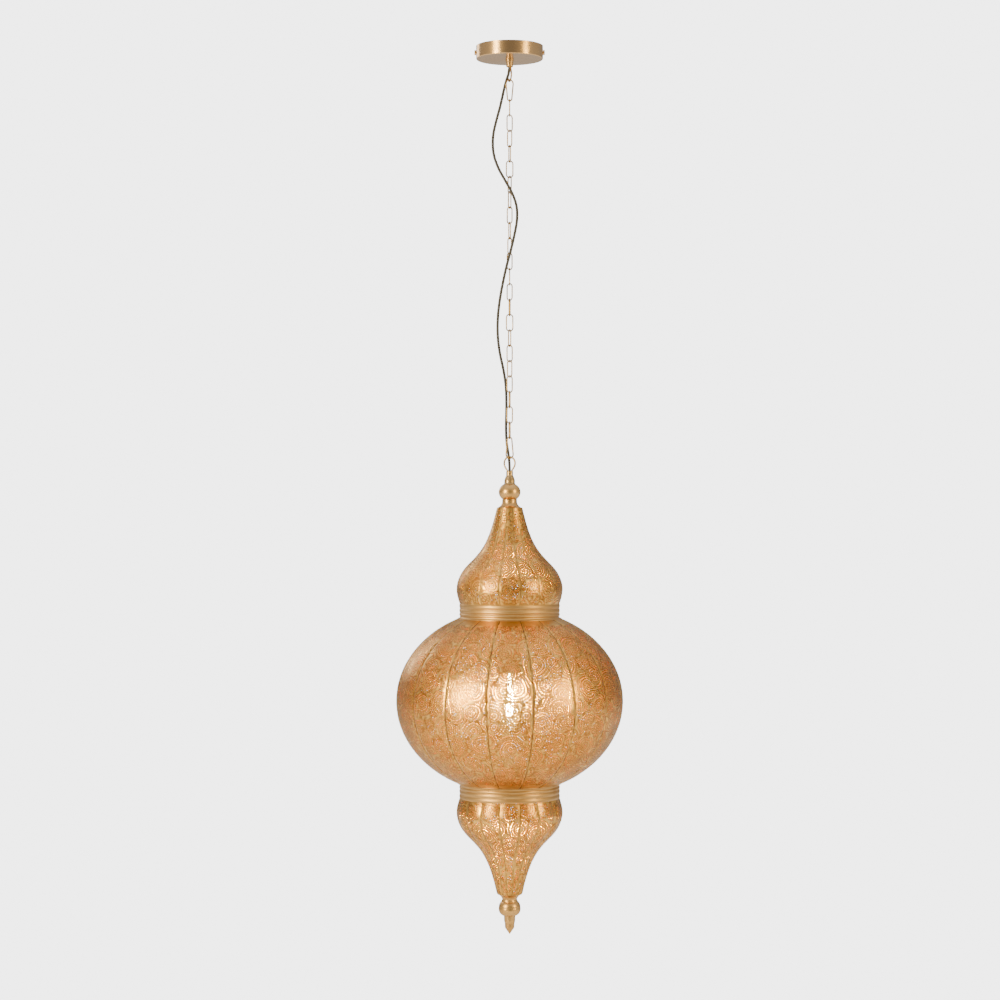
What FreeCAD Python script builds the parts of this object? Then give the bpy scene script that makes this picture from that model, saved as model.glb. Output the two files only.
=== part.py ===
import FreeCAD, Part
import math
import os

os.makedirs("parts", exist_ok=True)
V = FreeCAD.Vector

# A hanging lantern of pierced brass sheet, in millimetres. The ceiling is the plane z = 0 and everything
# hangs down the Z axis: ceiling bracket and canopy, loop, connector, chain, connector, loop, and then the
# lantern body, which is ball, cap, dome, band, globe, band, bowl and finial, with an E27 lamp inside it.

# Fits
seat_gap = 0.3  # gap of a push-on fit, all round
hang_gap = 0.2  # slack between two wires that hang on each other
thread_gap = 0.05  # gap of a threaded pair, all round
sheet = 0.8  # brass sheet of ball, cap, dome, globe and bowl

# Ceiling bracket and canopy
canopy_dia = 118.0
canopy_height = 24.0
canopy_wall = 1.0
canopy_corner = 1.6
ceiling_gap = 0.5  # canopy rim to ceiling
strap_width = 16.0
strap_thick = 1.5
ear_drop = 18.0
slot_spacing = 64.0
slot_length = 14.0
slot_width = 5.0
side_screw_dia = 4.0
side_screw_head_dia = 9.0
side_screw_head = 3.0
side_screw_drop = 12.0  # screw axis below the ceiling
side_screw_length = 7.0
block_length = 30.0
block_depth = 14.0
block_height = 12.0
block_corner = 1.5
block_pitch = 9.5
block_screw_dia = 3.0
block_screw_sunk = 0.6  # screw end inside the block's face
block_screw_slit = 0.6
wire_way_dia = 3.4
wire_way_drop = 5.0  # axis below the block's top
earth_screw_x = -20.0
earth_screw_dia = 4.0
earth_head_dia = 8.0
earth_head = 2.5

# Hollow threaded rods, nuts and washers
rod_dia = 8.0
rod_bore = 5.6
nut_across = 14.0
nut_thick = 4.0
washer_dia = 20.0
washer_thick = 1.0
nipple_top = 16.0  # nipple end below the ceiling
thread_depth = 9.0  # rod inside a collar

# Cast loops with a way for the cord
loop_wire = 3.0
loop_radius = 11.5  # centreline
loop_height = 26.4
leg_spread = 4.6
collar_height = 13.6
collar_dia = 12.2
collar_flange_dia = 14.4
collar_flange = 5.0
cord_way_dia = 6.0
stem_height = 23.4
stem_foot_dia = 20.6
stem_foot_height = 7.0

# Connectors and chain, each a ring of bent wire
connector_wire = 2.4
connector_length = 37.6  # wire centre to wire centre
connector_wide = 7.5  # bend radius at the loop
connector_narrow = 4.7  # bend radius at the chain
link_wire = 2.2
link_length = 29.51
link_bend = 5.9

# How far each ring is turned about the chain's line, in degrees, as a hung chain settles
canopy_loop_turn = 105.0
upper_connector_turn = 34.0
link_turns = (
    90, 39, 129, 76, 13, 118, 68, 135, 75, 122, 43,
    90, 138, 80, 16, 109, 39, 131, 39, 99, 34, 100,
)
lower_connector_turn = 34.0
lantern_loop_turn = 146.0

# Lantern body
ball_radius = 19.3
ball_half_height = 16.5
ball_height = 27.0
ball_above_middle = 14.0
cap_height = 14.5
cap_top_radius = 13.1
onion_height = 169.5
onion_end_radius = 22.5
onion_rim_radius = 88.0
onion_belly_radius = 93.6
band_height = 25.5
band_wall = 1.2
band_lip = 2.6
band_rib = 0.8
globe_radius = 200.0
globe_half_height = 163.0  # of the whole ellipse
globe_height = 291.4  # joint to joint
neck_ring_height = 18.0
neck_ring_wall = 1.0
foot_height = 13.6
foot_radius = 13.0
drum_height = 25.0
drum_radius = 19.1
finial_height = 33.0
finial_radius = 9.9
stud_dia = 6.0
stud_in_finial = 8.0
small_nut_across = 10.0
small_washer_dia = 16.0

# Lamp holder and bulb
holder_drop = 33.0  # holder top below the globe's upper joint
holder_radius = 20.5
holder_wall = 1.2
holder_height = 62.0
holder_cap_height = 20.0
holder_ring_height = 9.0
socket_radius = 13.4
bulb_cap_radius = 13.1
bulb_cap_height = 27.5
bulb_length = 140.0
bulb_radius = 32.0
bulb_neck_radius = 14.5
glass_wall = 0.8
filament_count = 4
filament_length = 44.0
filament_dia = 2.4
filament_circle = 8.0
filament_lean = 2.5
filament_gap = 0.2  # filament end to the stem's plate
stem_radius = 3.0
stem_wire = 1.0
stem_plate = 1.0

# Cord
cord_dia = 4.8
cord_points = (
    (0, 0, -29), (0, 0, -45), (-6.5, 1.5, -62), (-11.5, 4, -83), (-16.5, 5.5, -106), (-23.5, 4.5, -131),
    (-30, 1, -159), (-29.5, -4, -190), (-20.5, -9, -217), (-7.5, -12.5, -240), (5, -13, -262),
    (13, -10.5, -284), (13.5, -9.5, -309), (8.5, -12, -335), (2.5, -13, -361), (-4.5, -12.5, -386),
    (-10.5, -9, -412), (-16.5, -3.5, -442), (-21, 2, -476), (-21.5, 6, -511), (-17.5, 8.5, -543),
    (-10.5, 10, -572), (-6, 11, -603), (-5.5, 11.5, -641), (-6.5, 11, -672), (-5.5, 10, -701),
    (-1.2, 7.2, -725.5), (0, 0, -743.5), (0, 0, -757),
)  # the way the slack cord lies beside the chain, picked by hand


def save(name, *solids):
    # One node: a single solid, or a group of separate ones.
    shape = solids[0] if len(solids) == 1 else Part.makeCompound(list(solids))
    for solid in shape.Solids:
        if not solid.isValid() or solid.Volume <= 0:
            print("BAD", name, solid.isValid(), round(solid.Volume, 2))
    shape.exportStep("parts/" + name + ".step")


def rod(radius, low, high, x=0.0, y=0.0):
    return Part.makeCylinder(radius, high - low, V(x, y, low))


def tube(outer, inner, low, high):
    return rod(outer, low, high).cut(rod(inner, low - 1, high + 1))


def rod_x(radius, start, end, z):
    return Part.makeCylinder(radius, end - start, V(start, 0, z), V(1, 0, 0))


def slab(x0, x1, y0, y1, z0, z1):
    return Part.makeBox(x1 - x0, y1 - y0, z1 - z0, V(x0, y0, z0))


def hex_nut(across, thick, low, bore):
    # A hexagon with its corners turned back a little.
    reach = across / math.sqrt(3)
    angles = [math.radians(60 * i) for i in range(7)]
    corners = [V(reach * math.cos(a), reach * math.sin(a), low) for a in angles]
    blank = Part.Face(Part.makePolygon(corners)).extrude(V(0, 0, thick))
    crown = rod(reach * 0.945, low, low + thick)
    return blank.common(crown).cut(rod(bore, low - 1, low + thick + 1))


def edges_of(outline):
    # An outline is a list of (r, z) corners. A pair of points is an arc: a point on it, and its end.
    # A list of points is a smooth curve through them all, from the corner before it.
    edges = []
    here = V(outline[0][0], 0, outline[0][1])
    for item in outline[1:] + outline[:1]:
        if isinstance(item, list):
            through = [here] + [V(r, 0, z) for r, z in item]
            curve = Part.BSplineCurve()
            curve.interpolate(through)
            edges.append(curve.toShape())
            here = through[-1]
        elif isinstance(item[0], tuple):
            middle, end = [V(r, 0, z) for r, z in item]
            edges.append(Part.Arc(here, middle, end).toShape())
            here = end
        else:
            end = V(item[0], 0, item[1])
            if (end - here).Length > 1e-6:
                edges.append(Part.LineSegment(here, end).toShape())
            here = end
    return edges


def turned(outline):
    # The solid that the outline sweeps out round the Z axis.
    face = Part.Face(Part.Wire(edges_of(outline)))
    return face.revolve(V(0, 0, 0), V(0, 0, 1), 360)


def swept(edges, radius):
    # A round wire along joined edges.
    path = Part.Wire(edges)
    first = edges[0]
    start = first.valueAt(first.FirstParameter)
    heading = first.tangentAt(first.FirstParameter)
    section = Part.Wire([Part.makeCircle(radius, start, heading)])
    return path.makePipeShell([section], True, True)


def wire_ring(length, top_bend, bottom_bend, wire):
    # A closed ring of round wire in the XZ plane, hung from z = 0: two bends of their own radius, whose
    # centrelines lie length apart, joined by straight sides that are tangent to both.
    top = V(0, 0, -top_bend)
    bottom = V(0, 0, bottom_bend - length)
    lean = math.asin((top_bend - bottom_bend) / (top.z - bottom.z))
    out = V(math.cos(lean), 0, -math.sin(lean))
    back = V(-out.x, 0, out.z)
    a, b = top + out * top_bend, top + back * top_bend
    c, d = bottom + back * bottom_bend, bottom + out * bottom_bend
    edges = [
        Part.LineSegment(d, a).toShape(),
        Part.Arc(a, V(0, 0, 0), b).toShape(),
        Part.LineSegment(b, c).toShape(),
        Part.Arc(c, V(0, 0, -length), d).toShape(),
    ]
    return swept(edges, wire / 2)


def loop_wire_shape():
    # The bow of a loop in the XZ plane, hung from its mouth at z = 0: two legs run from the mouth to the
    # round, and meet it at a tangent.
    centre = -(loop_height - loop_wire / 2 - loop_radius)
    reach = math.hypot(leg_spread, centre)
    tangent = math.atan2(-centre, leg_spread) - math.acos(loop_radius / reach)
    touch = V(loop_radius * math.cos(tangent), 0, centre + loop_radius * math.sin(tangent))
    root = V(leg_spread, 0, 0)
    inside = root + (root - touch).normalize() * loop_wire / 2
    mirror = [V(-p.x, 0, p.z) for p in (inside, touch)]
    edges = [
        Part.LineSegment(inside, touch).toShape(),
        Part.Arc(touch, V(0, 0, centre - loop_radius), mirror[1]).toShape(),
        Part.LineSegment(mirror[1], mirror[0]).toShape(),
    ]
    return swept(edges, loop_wire / 2)


def placed(shape, z, turn, flip=False):
    # A copy turned about the Z axis and set at height z; flip stands it on its head first.
    copy = shape.copy()
    if flip:
        copy.rotate(V(0, 0, 0), V(1, 0, 0), 180)
    copy.rotate(V(0, 0, 0), V(0, 0, 1), turn)
    copy.translate(V(0, 0, z))
    return copy


# Heights, from the ceiling down
canopy_low = -canopy_height
canopy_loop_mouth = canopy_low - collar_height
loop_reach = loop_height - loop_wire / 2  # mouth to the middle of the wire
hang_on_loop = (loop_wire + connector_wire) / 2 + hang_gap
hang_on_connector = (connector_wire + link_wire) / 2 + hang_gap
link_pitch = link_length - link_wire - hang_gap
upper_connector_top = canopy_loop_mouth - loop_reach + hang_on_loop
chain_top = upper_connector_top - connector_length + hang_on_connector
chain_low = chain_top - link_pitch * (len(link_turns) - 1) - link_length
lower_connector_top = chain_low + hang_on_connector
lower_connector_low = lower_connector_top - connector_length
lantern_loop_mouth = lower_connector_low + hang_on_loop - loop_reach
ball_top = lantern_loop_mouth - stem_height
ball_low = ball_top - ball_height
dome_top = ball_low - cap_height
dome_low = dome_top - onion_height
upper_joint = dome_low - band_height
globe_middle = upper_joint - globe_height / 2
lower_joint = upper_joint - globe_height
bowl_top = lower_joint - band_height
bowl_low = bowl_top - onion_height
drum_top = bowl_low - foot_height
drum_low = drum_top - drum_height
tip = drum_low - finial_height
holder_top = upper_joint - holder_drop
holder_low = holder_top - holder_height
seat = holder_low + bulb_cap_height  # where the bulb's end contact sits
rod_hole = rod_dia / 2 + thread_gap


def make_bracket():
    inner = canopy_dia / 2 - canopy_wall - seat_gap
    end = math.sqrt(inner**2 - (strap_width / 2) ** 2)
    half = strap_width / 2
    strap = slab(-end, end, -half, half, -strap_thick, 0)
    for side in (-1, 1):
        x0, x1 = sorted((side * end, side * (end - strap_thick)))
        strap = strap.fuse(slab(x0, x1, -half, half, -ear_drop, 0))
    strap = strap.removeSplitter()
    for side in (-1, 1):
        middle, reach = side * slot_spacing / 2, (slot_length - slot_width) / 2
        slot = slab(middle - reach, middle + reach, -slot_width / 2, slot_width / 2, -strap_thick - 1, 1)
        for x in (middle - reach, middle + reach):
            slot = slot.fuse(rod(slot_width / 2, -strap_thick - 1, 1, x))
        strap = strap.cut(slot)
    tapped = rod_x(side_screw_dia / 2 + thread_gap, -end - 1, end + 1, -side_screw_drop)
    strap = strap.cut(tapped)
    strap = strap.cut(rod(earth_screw_dia / 2 + thread_gap, -strap_thick - 1, 1, earth_screw_x))
    save("ceiling_bracket", strap)


def make_terminal_block():
    top = -strap_thick
    low = top - block_height
    block = slab(-block_length / 2, block_length / 2, -block_depth / 2, block_depth / 2, low, top)
    block = block.makeFillet(block_corner, [e for e in block.Edges if abs(e.tangentAt(0).z) > 0.9])
    axis_height = top - wire_way_drop
    head, half_slit = low + block_screw_sunk, block_screw_slit / 2
    wire_face = axis_height - wire_way_dia / 4  # where a screw bears on its wire
    screws = []
    for way in (-1, 0, 1):
        x = way * block_pitch
        start = V(x, -block_depth / 2 - 1, axis_height)
        block = block.cut(Part.makeCylinder(wire_way_dia / 2, block_depth + 2, start, V(0, 1, 0)))
        for y in (-block_depth / 4, block_depth / 4):
            block = block.cut(rod(block_screw_dia / 2 + thread_gap, low - 1, axis_height, x, y))
            screw = rod(block_screw_dia / 2, head, wire_face, x, y)
            reach = block_screw_dia
            slit = slab(x - reach, x + reach, y - half_slit, y + half_slit, low, head + block_screw_slit)
            screws.append(screw.cut(slit))
    save("terminal_block", block)
    save("terminal_screws", *screws)
    head_top = top - seat_gap
    shank = rod(earth_screw_dia / 2, head_top, -seat_gap, earth_screw_x)
    head = rod(earth_head_dia / 2, head_top - earth_head, head_top, earth_screw_x)
    save("earth_screw", head.fuse(shank).removeSplitter())


def make_canopy():
    outer, inner = canopy_dia / 2, canopy_dia / 2 - canopy_wall
    corner, bend = canopy_corner, canopy_corner - canopy_wall / 2
    low, floor = canopy_low, canopy_low + canopy_wall
    slope = math.sqrt(0.5)
    cup = turned([
        (outer, -ceiling_gap),
        (outer, low + corner),
        ((outer - corner + corner * slope, low + corner - corner * slope), (outer - corner, low)),
        (rod_hole, low),
        (rod_hole, floor),
        (inner - bend, floor),
        ((inner - bend + bend * slope, floor + bend - bend * slope), (inner, floor + bend)),
        (inner, -ceiling_gap),
    ])
    clear = side_screw_dia / 2 + seat_gap
    save("canopy_cup", cup.cut(rod_x(clear, -outer - 1, outer + 1, -side_screw_drop)))
    screws = []
    for side in (-1, 1):
        face = outer + hang_gap
        head = rod_x(side_screw_head_dia / 2, face, face + side_screw_head, -side_screw_drop)
        head = head.makeChamfer(0.6, [e for e in head.Edges if e.Closed and e.CenterOfMass.x > face + 1])
        screw = head.fuse(rod_x(side_screw_dia / 2, face - side_screw_length, face, -side_screw_drop))
        if side < 0:
            screw.rotate(V(0, 0, 0), V(0, 0, 1), 180)
        screws.append(screw.removeSplitter())
    save("canopy_screws", *screws)
    nut_low = floor + washer_thick
    save("canopy_nut_and_washer",
         tube(washer_dia / 2, rod_hole, floor, nut_low),
         hex_nut(nut_across, nut_thick, nut_low, rod_hole))
    save("canopy_nipple", tube(rod_dia / 2, rod_bore / 2, canopy_low - thread_depth, -nipple_top))


def cord_mouth(mouth, way):
    # The countersink where the cord comes out of a collar.
    wide, narrow = cord_way_dia / 2 + 0.8, cord_way_dia / 2
    base = V(0, 0, mouth - way * 0.01)
    return Part.makeCone(wide, narrow, 1.0, base, V(0, 0, way))


def make_loops():
    bow = loop_wire_shape()
    mouth, top = canopy_loop_mouth, canopy_low
    collar = turned([
        (0, top),
        (collar_flange_dia / 2, top),
        (collar_flange_dia / 2, top - collar_flange + 1.0),
        (collar_dia / 2, top - collar_flange),
        (collar_dia / 2, mouth + 1.0),
        (collar_dia / 2 - 1.0, mouth),
        (0, mouth),
    ])
    loop = collar.fuse(placed(bow, mouth, canopy_loop_turn))
    loop = loop.cut(rod(rod_hole, top - thread_depth - hang_gap, top + 1))
    loop = loop.cut(rod(cord_way_dia / 2, mouth - 0.01, top)).cut(cord_mouth(mouth, 1))
    save("canopy_loop", loop)

    mouth, low = lantern_loop_mouth, ball_top
    foot = stem_foot_dia / 2
    stem = turned([
        (0, mouth),
        (collar_dia / 2 - 1.0, mouth),
        (collar_dia / 2, mouth - 1.0),
        (collar_dia / 2, low + stem_foot_height + 8.0),
        (foot - 2.6, low + stem_foot_height + 5.0),
        (foot - 0.9, low + stem_foot_height),
        (foot - 0.9, low + 2.0),
        (foot, low),
        (0, low),
    ])
    loop = stem.fuse(placed(bow, mouth, lantern_loop_turn, flip=True))
    loop = loop.cut(rod(rod_hole, low - 1, low + thread_depth + hang_gap))
    loop = loop.cut(rod(cord_way_dia / 2, low, mouth + 0.01)).cut(cord_mouth(mouth, -1))
    save("lantern_loop", loop)


def make_chain():
    connector = wire_ring(connector_length, connector_wide, connector_narrow, connector_wire)
    save("upper_connector", placed(connector, upper_connector_top, upper_connector_turn))
    save("lower_connector", placed(connector, lower_connector_low, lower_connector_turn, flip=True))
    link = wire_ring(link_length, link_bend, link_bend, link_wire)
    for i, turn in enumerate(link_turns):
        save("chain_link_%02d" % (i + 1), placed(link, chain_top - link_pitch * i, turn))


def tangent_runs(points):
    # Straight runs joined by tangent arcs, each as large as its two runs allow.
    edges, here = [], points[0]
    tightest = 1e9
    for before, corner, after in zip(points, points[1:], points[2:]):
        back, ahead = before - corner, after - corner
        turn = math.pi - back.getAngle(ahead)
        set_back = 0.45 * min(back.Length, ahead.Length)
        radius = set_back / math.tan(turn / 2)
        tightest = min(tightest, radius)
        inward = (back.normalize() + ahead.normalize()).normalize()
        start, end = corner + back * set_back, corner + ahead * set_back
        middle = corner + inward * (radius / math.cos(turn / 2) - radius)
        edges.append(Part.LineSegment(here, start).toShape())
        edges.append(Part.Arc(start, middle, end).toShape())
        here = end
    edges.append(Part.LineSegment(here, points[-1]).toShape())
    return edges, tightest


def make_cord():
    edges, tightest = tangent_runs([V(*p) for p in cord_points])
    cord = swept(edges, cord_dia / 2)
    length = sum(e.Length for e in edges)
    expected = math.pi * cord_dia**2 / 4 * length
    print("cord length %.1f, tightest bend %.1f" % (length, tightest))
    print("cord volume over section times length %.4f" % (cord.Volume / expected))
    save("supply_cord", cord)


def ball_outline_at(z, thick):
    # Radius of the flattened ball at a height, thick inside its skin.
    middle = ball_top - ball_above_middle
    share = (z - middle) / (ball_half_height - thick)
    return (ball_radius - thick) * math.sqrt(1 - share**2)


def make_ball_and_cap():
    middle = ball_top - ball_above_middle
    high, low = ball_top - sheet, ball_low + sheet

    def side(start, end, thick):
        # Points down the flattened ball between two heights.
        heights = [start + (end - start) * i / 6 for i in range(1, 7)]
        return [(ball_outline_at(z, thick), z) for z in heights]

    save("top_ball", turned([
        (rod_hole, ball_top),
        (ball_outline_at(ball_top, 0), ball_top),
        side(ball_top, ball_low, 0),
        (rod_hole, ball_low),
        (rod_hole, low),
        (ball_outline_at(low, sheet), low),
        side(low, high, sheet),
        (rod_hole, high),
    ]))
    rim, top = onion_end_radius - 0.3, cap_top_radius
    straight = ball_low - 3.0
    bend = (top + 0.32 * (rim - top), straight - 0.68 * (straight - dome_top))
    save("top_cap", turned([
        (rod_hole, ball_low),
        (top, ball_low),
        (top, straight),
        (bend, (rim, dome_top)),
        (rim - sheet - 0.4, dome_top),
        ((bend[0] - sheet, bend[1] - 0.4), (top - sheet, straight - sheet)),
        (top - sheet, ball_low - sheet),
        (rod_hole, ball_low - sheet),
    ]))


def onion_skin():
    # The side of dome and bowl as (radius, distance from the rim), from the rim to the narrow end.
    rim, belly, end, height = onion_rim_radius, onion_belly_radius, onion_end_radius, onion_height
    return [
        (rim, 0.0),
        (belly, 0.14 * height),
        (end + 0.83 * (belly - end), 0.35 * height),
        (end + 0.60 * (belly - end), 0.455 * height),
        (end + 0.39 * (belly - end), 0.56 * height),
        (end + 0.15 * (belly - end), 0.77 * height),
        (end, height),
    ]


def inset(points, thick):
    # The same curve moved inwards, square to its own run.
    moved = []
    for i, (r, z) in enumerate(points):
        (r0, z0), (r1, z1) = points[max(i - 1, 0)], points[min(i + 1, len(points) - 1)]
        run = math.hypot(r1 - r0, z1 - z0)
        ends = i in (0, len(points) - 1)
        moved.append((r - thick * abs(z1 - z0) / run, z if ends else z + thick * (r1 - r0) / run))
    return moved


def make_onion(name, rim_height, way):
    # A dome (way 1) or a bowl (way -1): the pierced skin with a flat plate at its narrow end.
    outer = [(r, rim_height + way * z) for r, z in onion_skin()]
    inner = [(r, rim_height + way * z) for r, z in inset(onion_skin(), sheet)]
    end = outer[-1][1]
    plate = end - way * sheet
    inner[-1] = (inner[-1][0], plate)
    bore = rod_hole if way > 0 else stud_dia / 2 + thread_gap
    save(name, turned([outer[0], outer[1:], (bore, end), (bore, plate), inner[-1], inner[-2::-1]]))


def make_band(name, joint, way):
    # A rolled band between an onion and the globe. way 1 lies above the joint and -1 below it; its lip
    # stands out at the globe.
    inside = onion_rim_radius - band_wall
    base, rib, h = onion_rim_radius - 0.3, onion_rim_radius + band_rib, band_height

    def at(r, share):
        return (r, joint + way * share * h)

    save(name, turned([
        at(inside, 0.0),
        at(base + band_lip, 0.0),
        (at(base + 0.35 * band_lip, 0.05), at(base, 0.16)),
        (at(rib, 0.26), at(base, 0.36)),
        at(base, 0.39),
        (at(rib, 0.53), at(base, 0.67)),
        at(base, 0.71),
        (at(rib, 0.85), at(base + 0.3, 1.0)),
        at(inside, 1.0),
    ]))


def globe_at(z, thick):
    # Radius of the globe's ellipse at a height, thick inside its skin.
    share = (z - globe_middle) / (globe_half_height - thick)
    return (globe_radius - thick) * math.sqrt(1 - share**2)


def make_globe():
    def arc(thick, low, high):
        a, b = globe_radius - thick, globe_half_height - thick
        whole = Part.Ellipse(V(a, 0, globe_middle), V(0, 0, globe_middle + b), V(0, 0, globe_middle))
        start, end = [math.asin((z - globe_middle) / b) for z in (low, high)]
        return Part.ArcOfEllipse(whole, start, end).toShape()

    low, high = lower_joint + sheet, upper_joint - sheet
    outer, inner = arc(0.0, low, high), arc(sheet, low, high)
    ends = []
    for z in (low, high):
        ends.append(Part.LineSegment(V(globe_at(z, sheet), 0, z), V(globe_at(z, 0), 0, z)).toShape())
    skin = Part.Wire(Part.__sortEdges__([outer, ends[0], inner, ends[1]]))
    save("globe", Part.Face(skin).revolve(V(0, 0, 0), V(0, 0, 1), 360))

    outside = onion_rim_radius - band_wall - seat_gap * 2
    inside = outside - neck_ring_wall
    for name, joint, way in (("upper_neck_ring", upper_joint, 1), ("lower_neck_ring", lower_joint, -1)):
        flange = joint - way * sheet
        save(name, turned([
            (inside, flange),
            (globe_at(flange, 0), flange),
            (globe_at(flange, 0), joint),
            (outside, joint),
            (outside, joint + way * neck_ring_height),
            (inside, joint + way * neck_ring_height),
        ]))


def make_finial():
    stud_hole = stud_dia / 2 + thread_gap
    rim = onion_end_radius - 1.2
    save("bottom_neck", turned([
        (stud_hole, bowl_low),
        (rim, bowl_low),
        (rim, bowl_low - 0.8),
        ((foot_radius + 2.2, bowl_low - 0.38 * foot_height), (foot_radius, bowl_low - 0.72 * foot_height)),
        (foot_radius + 1.6, drum_top),
        (stud_hole, drum_top),
    ]))
    r, h = drum_radius, drum_height
    save("bottom_ball", turned([
        (stud_hole, drum_top),
        (foot_radius + 1.6, drum_top),
        ((r - 0.9, drum_top - 0.2 * h), (r, drum_top - 0.42 * h)),
        ((r - 1.3, drum_top - 0.78 * h), (finial_radius + 1.6, drum_low)),
        (stud_hole, drum_low),
    ]))
    f, h = finial_radius, finial_height
    finial = turned([
        (0, drum_low),
        (f + 0.2, drum_low),
        (f, drum_low - 0.22 * h),
        ((f - 0.5, drum_low - 0.34 * h), (f - 1.3, drum_low - 0.42 * h)),
        (f - 1.5, drum_low - 0.60 * h),
        (f - 2.1, drum_low - 0.67 * h),
        (0.5, tip + 0.4),
        (0, tip),
    ])
    save("finial", finial.cut(rod(stud_hole, drum_low - stud_in_finial - hang_gap, drum_low + 1)))
    plate = bowl_low + sheet
    nut_low = plate + washer_thick
    save("bowl_nut_and_washer",
         tube(small_washer_dia / 2, stud_hole, plate, nut_low),
         hex_nut(small_nut_across, nut_thick, nut_low, stud_hole))
    save("bowl_stud", rod(stud_dia / 2, drum_low - stud_in_finial, nut_low + nut_thick + 2.0))


def make_holder():
    rod_low = holder_top - holder_cap_height * 0.6
    save("centre_rod", tube(rod_dia / 2, rod_bore / 2, rod_low, ball_top + thread_depth))
    washer_low = dome_top - sheet - washer_thick
    save("dome_washer", tube(washer_dia / 2, rod_hole, washer_low, dome_top - sheet))
    save("rod_nuts",
         hex_nut(nut_across, nut_thick, washer_low - nut_thick, rod_hole),
         hex_nut(nut_across, nut_thick, holder_top, rod_hole),
         hex_nut(nut_across, nut_thick, holder_top - holder_wall - nut_thick, rod_hole))

    r, t = holder_radius, holder_wall
    low = holder_top - holder_cap_height
    save("holder_cap", turned([
        (rod_hole, holder_top),
        (r * 0.5, holder_top),
        ((r * 0.88, holder_top - 0.24 * holder_cap_height), (r, low + 0.35 * holder_cap_height)),
        (r, low),
        (r - t, low),
        (r - t, low + 0.35 * holder_cap_height),
        ((r * 0.88 - t, holder_top - 0.24 * holder_cap_height - t * 0.6), (r * 0.5, holder_top - t)),
        (rod_hole, holder_top - t),
    ]))
    body = r - 0.6
    floor = seat + 4.0
    save("holder_body", turned([
        (5.0, low),
        (body, low),
        (body, holder_low),
        (socket_radius + 1.2, holder_low),
        (socket_radius, holder_low + 1.2),
        (socket_radius, floor),
        (5.0, floor),
    ]))
    save("holder_ring", tube(r + 0.6, body + thread_gap, holder_low, holder_low + holder_ring_height))
    save("holder_contact", rod(5.0 - thread_gap, floor - 1.0, low).fuse(rod(3.0, seat + seat_gap, floor)))


def round_end(edge, pole):
    # The ball-shaped end of a glass, from its edge to its pole on the axis, as an arc.
    depth = edge[1] - pole
    ball = (edge[0] ** 2 + depth**2) / (2 * depth)
    half = edge[0] / 2
    return (half, pole + ball - math.sqrt(ball**2 - half**2)), (0, pole)


def make_bulb():
    neck = holder_low - 2.5
    r = bulb_cap_radius
    save("bulb_cap", turned([
        (0, seat),
        (3.6, seat),
        (4.2, seat - 1.0),
        (9.5, seat - 3.2),
        (r - 1.0, seat - 4.0),
        (r, seat - 5.0),
        (r, neck + 3.0),
        (r - 0.3, neck),
        (0, neck),
    ]))
    end = seat - bulb_length
    outer = [
        (bulb_neck_radius - 1.5, neck),
        (bulb_neck_radius, neck - 14.0),
        (bulb_radius - 4.5, neck - 44.0),
        (bulb_radius, end + 44.0),
        (bulb_radius - 6.0, end + 18.0),
        (12.0, end + 2.6),
    ]
    inner = inset(outer, glass_wall)
    inner[-1] = (outer[-1][0], outer[-1][1] + glass_wall)
    back = round_end(inner[-1], end + glass_wall)
    save("bulb_glass", turned([
        outer[0],
        outer[1:],
        round_end(outer[-1], end),
        back[1],
        (back[0], inner[-1]),
        inner[-2::-1],
    ]))

    high = neck - 30.0
    low = high - filament_length
    stem = rod(stem_radius, high, neck).fuse(rod(filament_circle + 1.0, high - stem_plate, high))
    stem = stem.fuse(rod(stem_wire, low, high))
    stem = stem.fuse(rod(filament_circle - filament_lean + stem_wire, low - stem_plate, low))
    save("bulb_stem", stem.removeSplitter())
    rods = []
    for i in range(filament_count):
        angle = 2 * math.pi * (i + 0.5) / filament_count
        out = V(math.cos(angle), math.sin(angle), 0)
        foot = out * (filament_circle - filament_lean) + V(0, 0, low)
        head = out * filament_circle + V(0, 0, high - stem_plate)
        run = head - foot
        length = run.Length - 2 * filament_gap
        rods.append(Part.makeCylinder(filament_dia / 2, length, foot + run.normalize() * filament_gap, run))
    save("bulb_filaments", *rods)


make_bracket()
make_terminal_block()
make_canopy()
make_loops()
make_chain()
make_cord()
make_ball_and_cap()
make_onion("dome", dome_low, 1)
make_band("upper_band", upper_joint, 1)
make_globe()
make_band("lower_band", lower_joint, -1)
make_onion("bowl", bowl_top, -1)
make_finial()
make_holder()
make_bulb()
print("heights: connector %.1f, chain %.1f to %.1f, loop %.1f, dome %.1f, globe %.1f to %.1f, tip %.1f" % (
    upper_connector_top, chain_top, chain_low, lantern_loop_mouth, dome_top, upper_joint, lower_joint, tip))
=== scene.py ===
import math
import bpy
import numpy as np
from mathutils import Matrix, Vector
from mathutils.geometry import delaunay_2d_cdt


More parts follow.
